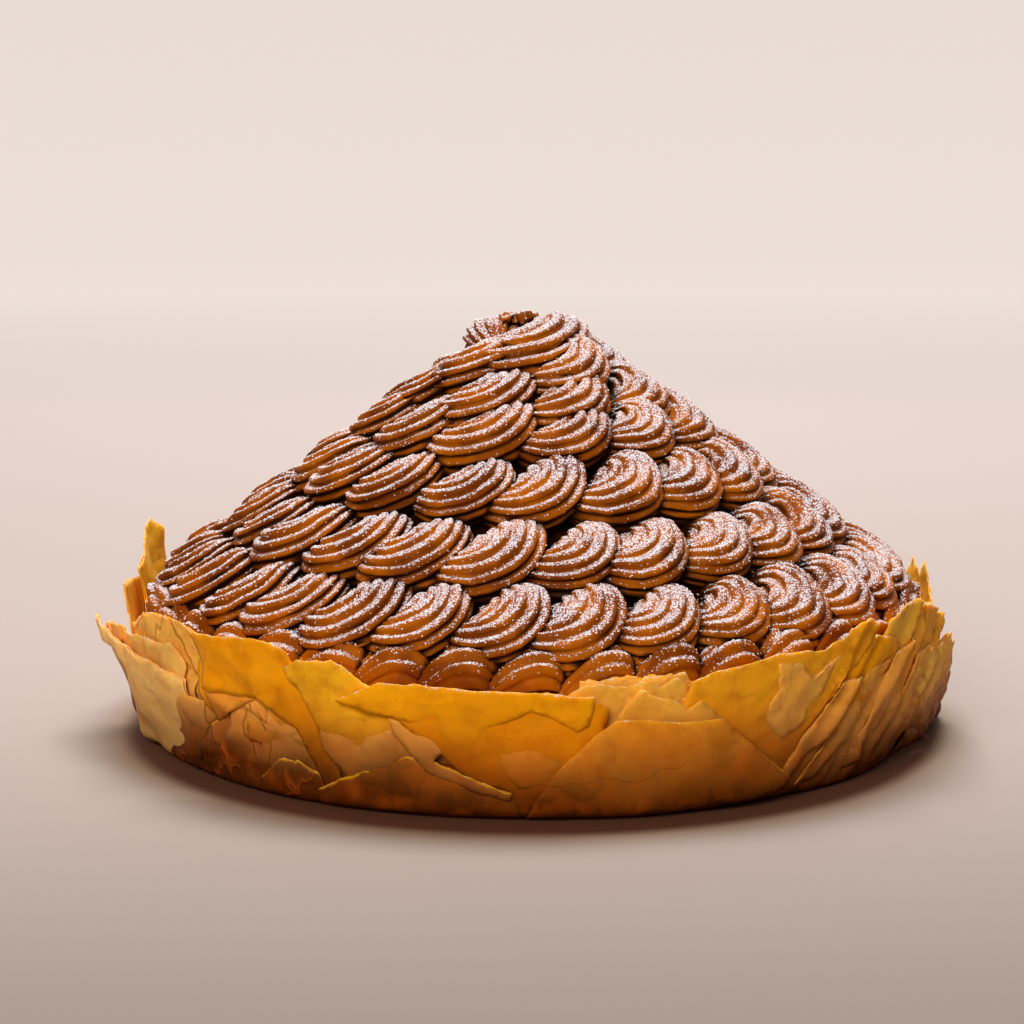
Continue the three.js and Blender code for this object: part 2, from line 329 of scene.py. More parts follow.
# Dust on the cream: thicker to the left, in patches, on what faces up.
DUST_DRIFT = (-0.02, 0.08, 0.06, -0.02)
DUST_PATCH_SCALE, DUST_PATCH_GAIN = 60, 0.5
DUST_COVER = (0.95, 1.17, 0.04, 0.88)
# Its grains: how wide, and their share of the cover.
DUST_GRAINS = ((0.62, 1.0), (0.40, 0.85))
DUST_REACH = 0.56
DUST_STRENGTH = 0.92


def cream_material():
    shader = Shader("chestnut_cream")
    tone = shader.ramp(shader.noise(CREAM_TONE_SCALE, 2), *CREAM_TONE)
    colour = shader.mix(tone, CREAM_DEEP, CREAM_LIGHT)
    # Painted shade: the cream turns near black where nearby cream closes it in.
    closed = shader.ramp(shader.mark("occlusion")["Fac"], *CREAM_SHADE_BY_OCCLUSION)
    colour = shader.mix(closed, colour, CREAM_PAINTED_SHADE)
    drift = shader.ramp(shader.xyz(shader.spot())["X"], *DUST_DRIFT)
    patches = shader.times(shader.noise(DUST_PATCH_SCALE, 2), DUST_PATCH_GAIN)
    lifted = shader.plus(shader.plus(shader.up(), drift), patches)
    cover = shader.ramp(lifted, *DUST_COVER)
    cover = shader.times(cover, shader.mark("open_sky")["Fac"])
    dust = 0.0
    for grain, share in DUST_GRAINS:
        part = shader.times(cover, share)
        dust = shader.math("MAXIMUM", dust, dust_mask(shader, part, grain, DUST_REACH))
    colour = shader.mix(shader.times(dust, DUST_STRENGTH), colour, SUGAR_WHITE)
    return shader.finish(
        Base_Color=colour,
        Roughness=shader.ramp(dust, *CREAM_ROUGHNESS),
        Normal=shader.bump(shader.noise(CREAM_GRAIN_SCALE, 1), *CREAM_BUMP),
        Specular_IOR_Level=SOFT_GLOSS,
    )


GRAIN_TONES = ((0.70, 0.71, 0.77), (0.84, 0.86, 0.93))
GRAIN_TONE_SCALE = 3000


def sugar_material():
    shader = Shader("icing_sugar")
    tone = shader.mix(shader.noise(GRAIN_TONE_SCALE, 1), *GRAIN_TONES)
    return shader.finish(Base_Color=tone, Roughness=0.5)


# The first colour is painted shade at the sheets' foot, and also the long crack's colour.
PASTRY_FOOT_SHADE_AND_CRACK = (0.045, 0.0075, 0.0002)
PASTRY_TAN = (0.62, 0.155, 0.002)
PASTRY_GOLD = (0.98, 0.27, 0.001)
PASTRY_YELLOW = (0.98, 0.42, 0.004)
PASTRY_PALE = (0.96, 0.56, 0.18)
PASTRY_BROWN = (0.40, 0.07, 0.001)

# Noises of the pastry: scale, detail, stretch and roughness.
UPRIGHT = (1, 1, 0.45)
PASTRY_WANDER = (45, 2)
PASTRY_MOTTLE = (140, 3)
PASTRY_FLECKS = (700, 2)
PASTRY_FINE = (420, 3, (1, 1, 1), 0.6)
PASTRY_CREASES = (110, 2, UPRIGHT)
PASTRY_WRINKLES = (95, 2, UPRIGHT)
PASTRY_FILMS = (75, (1, 1, 1.5), "CHEBYCHEV")

WANDER_HEIGHT = 0.014
PALE_SHARE = 0.75
CRACK_SHARE = 0.7
WRINKLE_SHARE = 0.3
PASTRY_DUST = dict(grain=0.45, reach=0.6, strength=0.85)

# Ramps of the pastry, by what they follow.
LIT_GOLD_BY_HEIGHT = (0.012, 0.034)
FOOT_SHADE_BY_HEIGHT = (0.0, 0.024, 0.985, 0.0)
FOOT_SHADE_BY_PALE = (0.5, 1.0, 1.0, 0.4)
SHADE_BY_X = (-0.06, 0.02, -0.0045, 0.0)
BROWN_BY_MOTTLE = (0.45, 0.75, 0.0, 0.35)
BROWN_BY_FILM = (0.0, 1.0, 0.0, 0.16)
BROWN_BY_FLECK = (0.70, 0.78, 0.0, 0.4)
WRINKLE_BY_RIDGE = (0.0, 0.03, 1.0, 0.0)
WRINKLE_BY_CRUMPLE = (0.4, 1.0)
LIGHT_BY_EDGE = (0.0, 0.12, 0.6, 0.0)
LIGHT_BY_UP = (0.3, 0.8)
DUST_BY_EDGE = (0.0, 0.16, 0.35, 0.0)
DUST_BY_HEIGHT = (0.02, 0.036, -0.3, 0.0)
DUST_BY_UP = (0.5, 1.2, 0.0, 0.7)

# Bumps of the pastry: distance and strength.
FINE_BUMP = (0.0003, 0.7)
CREASE_BUMP = (0.0008, 0.6)
WRINKLE_BUMP = (0.0006, 0.8)

# The long crack: its wander, its height over X, its width, and where it runs.
CRACK_NOISE = (90, 6, (1, 0, 0))
CRACK_WANDER = 0.012
CRACK_HEIGHT = (0.018, 0.040, 0.0105, 0.0145)
CRACK_WIDTH = (0.00004, 0.00022, 0.6, 0.0)
CRACK_START = (-0.001, 0.004)
CRACK_END = (0.041, 0.037)
CRACK_FRONT = (-0.05, -0.06)


def long_crack(shader, x, y, z):
    """The one crack that wanders along the broad front leaf."""
    middle = shader.math("SUBTRACT", shader.noise(*CRACK_NOISE), 0.5)
    middle = shader.times(middle, CRACK_WANDER)
    middle = shader.plus(middle, shader.ramp(x, *CRACK_HEIGHT))
    gap = shader.math("ABSOLUTE", shader.math("SUBTRACT", z, middle))
    line = shader.ramp(gap, *CRACK_WIDTH)
    for along, ends in ((x, CRACK_START), (x, CRACK_END), (y, CRACK_FRONT)):
        line = shader.times(line, shader.ramp(along, *ends))
    return line


def pastry_material():
    shader = Shader("filo_pastry")
    marks = shader.mark("leaf")
    edge, yellow, pale = shader.channels(marks["Color"])
    x, y, z = shader.xyz(shader.spot())
    wander = shader.math("SUBTRACT", shader.noise(*PASTRY_WANDER), 0.5)
    height = shader.plus(z, shader.times(wander, WANDER_HEIGHT))
    gold = shader.mix(yellow, PASTRY_GOLD, PASTRY_YELLOW)
    # Painted light: the sheets turn from tan low down to gold at their tops, where light glows
    # through them from above.
    colour = shader.mix(shader.ramp(height, *LIT_GOLD_BY_HEIGHT), PASTRY_TAN, gold)
    colour = shader.mix(shader.times(pale, PALE_SHARE), colour, PASTRY_PALE)
    # Painted shade: the sheets darken to near black at their foot, more so to the left, less
    # where they are pale.
    foot = shader.plus(height, shader.ramp(x, *SHADE_BY_X))
    foot = shader.ramp(foot, *FOOT_SHADE_BY_HEIGHT)
    foot = shader.times(foot, shader.ramp(pale, *FOOT_SHADE_BY_PALE))
    colour = shader.mix(foot, colour, PASTRY_FOOT_SHADE_AND_CRACK)
    mottle = shader.ramp(shader.noise(*PASTRY_MOTTLE), *BROWN_BY_MOTTLE)
    colour = shader.mix(mottle, colour, PASTRY_BROWN)
    film = shader.channels(shader.cells(*PASTRY_FILMS)["Color"])[0]
    colour = shader.mix(shader.ramp(film, *BROWN_BY_FILM), colour, PASTRY_BROWN)
    crack = shader.times(long_crack(shader, x, y, z), CRACK_SHARE)
    colour = shader.mix(crack, colour, PASTRY_FOOT_SHADE_AND_CRACK)
    ridge = shader.math("SUBTRACT", shader.noise(*PASTRY_WRINKLES), 0.5)
    ridge = shader.ramp(shader.math("ABSOLUTE", ridge), *WRINKLE_BY_RIDGE)
    crumpled = shader.ramp(marks["Alpha"], *WRINKLE_BY_CRUMPLE)
    wrinkle = shader.times(ridge, crumpled)
    colour = shader.mix(shader.times(wrinkle, WRINKLE_SHARE), colour, PASTRY_BROWN)
    flecks = shader.ramp(shader.noise(*PASTRY_FLECKS), *BROWN_BY_FLECK)
    colour = shader.mix(flecks, colour, PASTRY_BROWN)
    up = shader.up()
    lit_edge = shader.ramp(edge, *LIGHT_BY_EDGE)
    lit_edge = shader.times(lit_edge, shader.ramp(up, *LIGHT_BY_UP))
    colour = shader.mix(lit_edge, colour, PASTRY_YELLOW)
    dusting = shader.plus(up, shader.ramp(edge, *DUST_BY_EDGE))
    dusting = shader.plus(dusting, shader.ramp(z, *DUST_BY_HEIGHT))
    cover = shader.ramp(dusting, *DUST_BY_UP)
    dust = dust_mask(shader, cover, PASTRY_DUST["grain"], PASTRY_DUST["reach"])
    dust = shader.times(dust, PASTRY_DUST["strength"])
    fine = shader.bump(shader.noise(*PASTRY_FINE), *FINE_BUMP)
    creases = shader.bump(shader.noise(*PASTRY_CREASES), *CREASE_BUMP, fine)
    return shader.finish(
        Base_Color=shader.mix(dust, colour, SUGAR_WHITE),
        Roughness=0.52,
        Normal=shader.bump(wrinkle, *WRINKLE_BUMP, creases),
        Subsurface_Weight=0.25,
        Subsurface_Radius=(1.0, 0.4, 0.06),
        Subsurface_Scale=0.002,
        Specular_IOR_Level=SOFT_GLOSS,
    )


# ---- chestnut cream ----


def cone_frame(radius, bearing):
    """Lays a plan of the slope round the cone: along the ring, up, and out."""
    slant = radius / math.cos(CONE_SLOPE)

    def place(u, v, n):
        reach = np.hypot(u, slant - v)
        turn = np.arctan2(u, slant - v) / math.cos(CONE_SLOPE)
        across = reach * math.cos(CONE_SLOPE) + n * math.sin(CONE_SLOPE)
        height = CONE_TOP - reach * math.sin(CONE_SLOPE) + n * math.cos(CONE_SLOPE)
        return polar(across, bearing + turn, height)

    return place


def crest_frame(crest):
    middle = np.array(crest["middle"])
    lean, facing = math.radians(crest["lean"]), math.radians(crest["facing"])
    across = np.array([math.cos(facing), math.sin(facing), 0.0])
    back = np.array([-math.sin(facing), math.cos(facing), 0.0])
    above = np.array([0.0, 0.0, 1.0])
    up = back * math.cos(lean) + above * math.sin(lean)
    out = above * math.cos(lean) - back * math.sin(lean)

    def place(u, v, n):
        return middle + u[..., None] * across + v[..., None] * up + n[..., None] * out

    return place


def piped_shell(shape, place, size, turn, seed):
    """Rings of points along the rope, from one tip to the other."""
    keys, near, far, middle, half = np.array(shape["stations"], float).T
    swing = (1 - np.cos(np.linspace(TIP_TRIM, 1 - TIP_TRIM, STEPS_ALONG) * math.pi)) / 2
    at = keys[0] + (keys[-1] - keys[0]) * swing
    reach = smooth_between(keys, (near + far) / 2, at)
    width = np.sqrt(np.maximum(smooth_between(keys, ((far - near) / 2) ** 2, at), 0.01))
    depth = np.sqrt(np.maximum(smooth_between(keys, half**2, at), 0.01))
    height = smooth_between(keys, middle, at)
    strands = shape["strands"]
    count = strands * POINTS_A_STRAND
    round_ = np.arange(count) / POINTS_A_STRAND
    gain = np.array([scatter(seed + k, 21.5) for k in range(strands)])
    strand = np.minimum(round_.astype(int), strands - 1)
    rib = np.abs(np.sin(math.pi * (round_ % 1))) ** RIB_ROUNDNESS
    lobe = 1 - shape["depth"] + shape["depth"] * rib * (1 + 3 * STRAND_JITTER * gain[strand])
    fibres = [np.array([scatter(seed + k, key) for k in range(count)]) for key in (8.1, 9.1)]
    fibre = fibres[0] + (fibres[1] - fibres[0]) * swing[:, None]
    start = math.radians(STRAND_START + START_JITTER * scatter(seed, 3.1))
    twist = math.radians(STRAND_TWIST * scatter(seed, 4.7)) * (swing - 0.5)
    angle = -(start + 2 * math.pi * round_ / strands)[None, :] + twist[:, None]
    across = reach[:, None] + (width[:, None] * lobe + STRIATION * fibre) * np.cos(angle)
    n = height[:, None] + (depth[:, None] * lobe + STRIATION * fibre) * np.sin(angle)
    n += shape["tilt"] * (across - reach[:, None])
    bearing = np.radians(at)[:, None]
    u = shape["pivot"][0] + across * np.cos(bearing)
    v = shape["pivot"][1] + across * np.sin(bearing)
    local = np.stack([u, v, n], axis=-1).reshape(-1, 3)
    for scale, amount in SHELL_LUMPS:
        for axis in range(3):
            local[:, axis] += amount * noise(local / scale + seed * 7.3, 11 * axis + int(scale))
    u, v, n = (local[:, axis].reshape(len(at), count) for axis in range(3))
    c, s = math.cos(turn), math.sin(turn)
    return place(size * (u * c - v * s), size * (u * s + v * c), size * n)


def closed_tube(rings, tips):
    """A tube of quads between its rings, with a fan to a tip over each end."""
    steps, count = rings.shape[:2]
    i = np.arange(count)
    j = (i + 1) % count
    ring = np.arange(steps - 1)[:, None] * count
    quads = np.stack([ring + i, ring + j, ring + count + j, ring + count + i], axis=-1)
    last, tip = (steps - 1) * count, np.full(count, steps * count)
    fans = np.stack([j, i, tip, last + i, last + j, tip + 1], axis=-1)
    points = np.concatenate([rings.reshape(-1, 3), tips])
    return points, quads.reshape(-1, 4).tolist() + fans.reshape(-1, 3).tolist()


def shells_piece(name, shells, material):
    tubes = [closed_tube(rings, rings[[0, -1]].mean(axis=1)) for rings in shells]
    return make_mesh(name, *joined(tubes), material)


def ring_shells(count, radius, first, ring_size, seed):
    shells = []
    for i in range(count):
        slip = BEARING_JITTER * scatter(i, seed) / radius
        bearing = math.radians(first + 360 * i / count) + slip
        size = ring_size * (1 + SIZE_JITTER * scatter(i, seed + 0.3))
        turn = math.radians(TURN_JITTER * scatter(i, seed + 0.6))
        place = cone_frame(radius, bearing)
        shells.append(piped_shell(SHELL, place, size, turn, 50 * seed + i))
    return shells


# Torn crumbs of cream on the crest: middle and half sizes.
CRUMBS = [
    ((-7.4, 0.5, 115.4), (2.0, 1.7, 1.8)),
    ((-5.0, 1.0, 115.2), (1.8, 1.6, 1.6)),
    ((-2.6, 0.6, 115.6), (2.4, 1.9, 2.2)),
    ((-0.2, 1.0, 115.6), (1.8, 1.6, 1.6)),
]
CRUMB_SIDES, CRUMB_STEPS = 24, 12
CRUMB_ROUGHNESS = 0.8
CRUMB_GRAIN = 1.1
CRUMB_OPENING = 0.06


def torn_crumbs():
    down = np.linspace(CRUMB_OPENING, 1 - CRUMB_OPENING, CRUMB_STEPS)[:, None] * math.pi
    angle = np.arange(CRUMB_SIDES)[None, :] * 2 * math.pi / CRUMB_SIDES
    ball = np.stack(np.broadcast_arrays(
        np.sin(down) * np.cos(angle), -np.sin(down) * np.sin(angle), np.cos(down)), axis=-1)
    crumbs = []
    for k, (middle, half) in enumerate(CRUMBS):
        points = (np.array(middle) + ball * np.array(half)).reshape(-1, 3)
        for axis in range(3):
            points[:, axis] += CRUMB_ROUGHNESS * noise(points / CRUMB_GRAIN + 9 * k, 60 + axis)
        crumbs.append(points.reshape(CRUMB_STEPS, CRUMB_SIDES, 3))
    return crumbs


def border_shells():
    shells = []
    for i in range(BORDER["shells"]):
        bearing = math.radians(BORDER["bearing"] + 360 * i / BORDER["shells"])
        size = 1 + 0.5 * SIZE_JITTER * scatter(i, 9)
        turn = math.radians(BORDER["turn"] + 0.5 * TURN_JITTER * scatter(i, 9.5))
        on_cone = cone_frame(BORDER["radius"], bearing)

        def place(u, v, n):
            return on_cone(u, v, n - BORDER["sink"])

        shells.append(inside_case(piped_shell(BORDER_SHELL, place, size, turn, 900 + i)))
    return shells


def wall_radius(z):
    return BASE_RADIUS + WALL_FLARE * z


# Over the wall's top the cream may lean out, up to the leaves.
LEAN_START, LEAN_RISE = -1.0, 3.0
LEAF_CLEARANCE = 0.6


def inside_case(points):
    """Holds cream that would reach the leaves against them."""
    x, y, z = points[..., 0], points[..., 1], points[..., 2]
    reach = np.hypot(x, y)
    free = np.clip((z - WALL_HEIGHT - LEAN_START) / LEAN_RISE, 0, 1)
    limit = wall_radius(z) - WALL_THICKNESS - GAP + free * (WALL_THICKNESS - LEAF_CLEARANCE)
    share = np.minimum(reach, limit) / reach
    return np.stack([x * share, y * share, z], axis=-1)


LATHE_SIDES = 180


def lathe(name, profile, material):
    """A closed solid turned round the axis, from radius and height pairs."""
    bearing = np.arange(LATHE_SIDES) * 2 * math.pi / LATHE_SIDES
    rings = np.array([polar(radius, bearing, z) for radius, z in profile[1:-1]])
    tips = [(0, 0, profile[0][1]), (0, 0, profile[-1][1])]
    return make_mesh(name, *closed_tube(rings, tips), material)


CORE_STEPS = 30


def cream_core(material):
    inner = BASE_RADIUS - WALL_THICKNESS - GAP
    drop = CORE_DEPTH / math.cos(CONE_SLOPE)
    slope = math.tan(CONE_SLOPE)
    shoulder = (CONE_TOP - drop - slope * inner) / (1 + slope * WALL_FLARE)
    floor = FLOOR_THICKNESS + GAP
    widest = inner + WALL_FLARE * shoulder
    profile = [(0, floor), (inner + WALL_FLARE * floor, floor), (widest, shoulder)]
    for k in range(1, CORE_STEPS):
        radius = widest * (1 - k / CORE_STEPS)
        profile.append((radius, CONE_TOP - drop - slope * radius))
    profile.append((0, CONE_TOP - drop))
    return lathe("cream_core", profile, material)


def make_cream():
    material = cream_material()
    pieces = [cream_core(material)]
    for seed, ring in enumerate(RINGS):
        shells = ring_shells(*ring, seed)
        pieces.append(shells_piece(f"cream_ring_{seed + 1}", shells, material))
    pieces.append(shells_piece("cream_border", border_shells(), material))
    crest = [
        piped_shell(SHELL, crest_frame(spec), spec["size"], 0.0, 2000 + k)
        for k, spec in enumerate(CREST)
    ]
    pieces.append(shells_piece("cream_crest", crest + torn_crumbs(), material))
    for piece in pieces:
        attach(piece, "root")
        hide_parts("chestnut_cream")
    return pieces


# ---- icing sugar ----

# Rays that feel for cream over a point, for the sugar, and round it within a reach, for the
# painted shade in the creases.
SIEVE_RAYS = [(0.0, 0.0), (0.35, 0.0), (-0.17, 0.30), (-0.17, -0.30)]
OCCLUSION_RAYS = [(0.0, 0.0), (0.9, 0.0), (0.0, 0.9), (-0.9, 0.0), (0.0, -0.9)]
OCCLUSION_REACH = 12.0
RAY_LIFT = 0.4
OFF_AXIS = (0.31, 0.52, 0.79)


def mark_exposure(pieces):
    """Stores how open each point is to falling sugar, and how closed in it is by cream near by,
    which sets the painted shade in the creases.
    """
    points, faces = joined([
        (read(piece.data.vertices, "co", 3), [face.vertices for face in piece.data.polygons])
        for piece in pieces
    ])
    tree = BVHTree.FromPolygons(points.tolist(), faces)
    rays = [Vector((x, y, 1.0)).normalized() for x, y in SIEVE_RAYS]
    for piece in pieces:
        mesh = piece.data
        normal = read(mesh.vertices, "normal", 3)
        start = read(mesh.vertices, "co", 3) + normal * RAY_LIFT * MM
        side = np.cross(normal, OFF_AXIS)
        side /= np.linalg.norm(side, axis=1)[:, None] + 1e-9
        other = np.cross(normal, side)
        fans = [(normal + a * side + b * other).tolist() for a, b in OCCLUSION_RAYS]
        open_ = np.zeros(len(start))
        occlusion = np.zeros(len(start))
        for k, spot in enumerate(start.tolist()):
            for ray in rays:
                if tree.ray_cast(spot, ray)[0] is None:
                    open_[k] += 1 / len(rays)
            for fan in fans:
                if tree.ray_cast(spot, fan[k], OCCLUSION_REACH * MM)[0] is not None:
                    occlusion[k] += 1 / len(fans)
        for name, values in (("open_sky", open_), ("occlusion", occlusion)):
            mark = mesh.attributes.new(name, "FLOAT", "POINT")
            mark.data.foreach_set("value", values)


GRAINS = 49000
GRAIN_SIZE = (0.18, 0.36)
GRAIN_SEED = 7
STRAY_GRAINS = 0.12
# How far a face looks up before grains stay on it, and until all do.
LIFT_START, LIFT_RANGE = 0.62, 0.3


def make_sugar(pieces):
    """Tiny tetrahedra lying on the open, upward faces of the shells."""
    draw = np.random.default_rng(GRAIN_SEED)
    spots, weights = [], []
    for piece in pieces:
        mesh = piece.data
        mesh.calc_loop_triangles()
        corners = read(mesh.loop_triangles, "vertices", 3, int)
        place = read(mesh.vertices, "co", 3) / MM
        open_ = read(mesh.attributes["open_sky"].data, "value", 1)[:, 0]
        a, b, c = (place[corners[:, k]] for k in range(3))
        normal = np.cross(b - a, c - a)
        area = np.linalg.norm(normal, axis=1) + 1e-12
        lift = np.clip((normal[:, 2] / area - LIFT_START) / LIFT_RANGE, 0, 1)
        spots.append(np.stack([a, b, c], axis=1))
        open_face = open_[corners].min(axis=1)
        weights.append(area * open_face * (lift + STRAY_GRAINS * (normal[:, 2] > 0)))
    spots = np.concatenate(spots)
    weights = np.concatenate(weights)
    chosen = draw.choice(len(spots), GRAINS, p=weights / weights.sum())
    share = draw.dirichlet((1, 1, 1), GRAINS)
    centre = np.einsum("nk,nkj->nj", share, spots[chosen])
    size = draw.uniform(*GRAIN_SIZE, GRAINS)
    corners = np.array([[1, 1, 1], [1, -1, -1], [-1, 1, -1], [-1, -1, 1]]) / math.sqrt(3)
    turn, _ = np.linalg.qr(draw.normal(size=(GRAINS, 3, 3)))
    turn *= np.sign(np.linalg.det(turn))[:, None, None]
    points = centre[:, None, :] + size[:, None, None] * np.einsum("kj,nij->nki", corners, turn)
    tetrahedron = np.array([[0, 1, 2], [0, 3, 1], [0, 2, 3], [1, 3, 2]])
    faces = (tetrahedron[None] + 4 * np.arange(GRAINS)[:, None, None]).reshape(-1, 3)
    points = points.reshape(-1, 3)
    grains = make_mesh("sugar_grains", points, faces.tolist(), sugar_material(), smooth=False)
    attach(grains, "root")


# ---- pastry case ----

LEAF_THICKNESS = 0.2
LAYER_STEP = 0.4
PLY_STEP, PLY_SEED_STEP = 0.55, 0.37
STANDOFF = 0.6
# Leaves hug those under them at their edges, up to where they run free, and
# tuck in at the foot.
EDGE_HUG = 0.45
EDGE_HUG_WIDTH = 3.0
FREE_HEIGHT = (24, 32)
FOOT_TUCK = 0.5
FOOT_HEIGHT = 3
EDGE_MARK_WIDTH = 12
LEAF_GRID = 1.25
GRID_JITTER = 0.3
# Torn edges: step along them, width of the tears and of finer ones, and the
# lowest that an edge reaches.
EDGE_STEP = 1.0
TEAR_WIDTH = 2.6
FINE_TEAR_WIDTH, FINE_TEARS = 1.1, 0.6
LOWEST_EDGE = 0.3
# Creases of a leaf: seed, width, length for their width, slant and height.
CREASES = ((0, 12.0, 2.0, 0, 1.0), (3, 5.5, 1.8, 35, 0.5), (7, 2.6, 1.5, -30, 0.22))


def leaf(layer, yellow, pale, crumple, ragged, *at):
    """One sheet: its layer, its tint, its own relief and its corners.

    A corner is a bearing, a height and how far it stands off the wall, if at all.
    """
    at = np.array([(*corner, 0)[:3] for corner in at], float)
    return dict(layer=layer, yellow=yellow, pale=pale, crumple=crumple, ragged=ragged, at=at)


LEFT_LEAVES = [
    leaf(1, 1.0, 0.15, 0.5, 0.8, (-108, 14), (-107, 50, 1), (-103, 54, 2), (-98, 49, 1),
         (-93, 44, 1), (-92, 14)),
    leaf(2, 0.9, 0.3, 0.5, 0.6, (-98, 2), (-97, 40, 3), (-88, 41, 4), (-84, 30, 3), (-86, 2)),
    leaf(1, 0.6, 0.5, 1.3, 0.6, (-84, 8), (-81, 31, 2.5), (-69, 40.3, 2), (-61, 42.4, 1.5),
         (-57.3, 41.9, 1), (-53.5, 39.6, 1), (-52.8, 35.7, 0.5), (-54, 27, 0.3), (-56, 8)),
    leaf(2, 0.8, 0.75, 0.5, 0.6, (-86, 31.6, 8.5), (-74.4, 33, 5), (-64.8, 34.6, 3),
         (-58.8, 35.5, 2.2), (-56.2, 29.9, 1.5), (-57.2, 18, 0.8), (-80, 8, 2)),
    leaf(1, 0.2, 0.35, 0.6, 0.4, (-91, 29, 11.5), (-93, 20, 9.5), (-89, 8, 6.5), (-80, 0.6, 3),
         (-68, 0.6), (-66, 24, 3), (-76, 28.5, 7)),
    leaf(3, 0.8, 1.0, 0.5, 0.5, (-89, 32, 12.5), (-78, 31.6, 9), (-69, 29.8, 6), (-62, 28.6, 4),
         (-55.7, 26.5, 2.2), (-55.4, 21.6, 1.6), (-57.8, 16, 1), (-61, 8, 0.6), (-63.5, 1.5),
         (-72, 0.8, 1), (-79, 2.5, 4.4), (-77, 14, 5), (-74.5, 22, 6.2), (-76, 26, 8),
         (-83, 28, 11), (-91, 28.5, 13)),
    leaf(3, 0.4, 0.5, 1.2, 0.5, (-69, 1, 0.6), (-61.3, 16.2, 1.2), (-56.1, 23, 1.8),
         (-53.4, 22.1, 1.6), (-51, 22, 1), (-50.5, 18.6, 0.6), (-54, 8, 0.2), (-58, 0.5)),
    leaf(2, 0.5, 0.0, 0.3, 0.3, (-53.1, 32.6, 1.4), (-51.5, 38, 2), (-49.1, 27, 1.6),
         (-49.4, 17.8, 0.6), (-50.9, 20, 0.6), (-53.3, 23.5, 0.6)),
    leaf(3, 0.1, 0.2, 0.2, 0.2, (-50.8, 27, 1.8), (-40.3, 27, 0.8), (-49.9, 17.4, 0.7)),
    leaf(2, 0.1, 0.35, 1.4, 0.4, (-41, 28, 0.3), (-33.9, 27), (-29.4, 15), (-27, 6), (-30, 0.5),
         (-62, 0.5), (-61.5, 2.4), (-50.5, 17, 0.4)),
    leaf(3, 0.2, 0.3, 1.2, 0.8, (-44, 0.5, 0.2), (-41, 6, 0.6), (-36.5, 11.5, 1), (-31, 9, 1),
         (-28.5, 4.5, 0.8), (-30, 0.5, 0.2)),
    leaf(4, 0.35, 0.0, 0.35, 0.3, (-51.3, 41.4, 3.2), (-49.3, 42.3, 3.2), (-45.7, 42.1, 2.4),
         (-41.1, 43.1, 1.6), (-36.1, 42.7, 1.2), (-34.2, 41, 1), (-32.6, 34.6, 0.5),
         (-31, 26, 0.2), (-28, 12), (-26, 2), (-29, 2), (-34.5, 20, 0.2), (-40.5, 26.6, 1),
         (-50.1, 26.4, 2.8)),
]
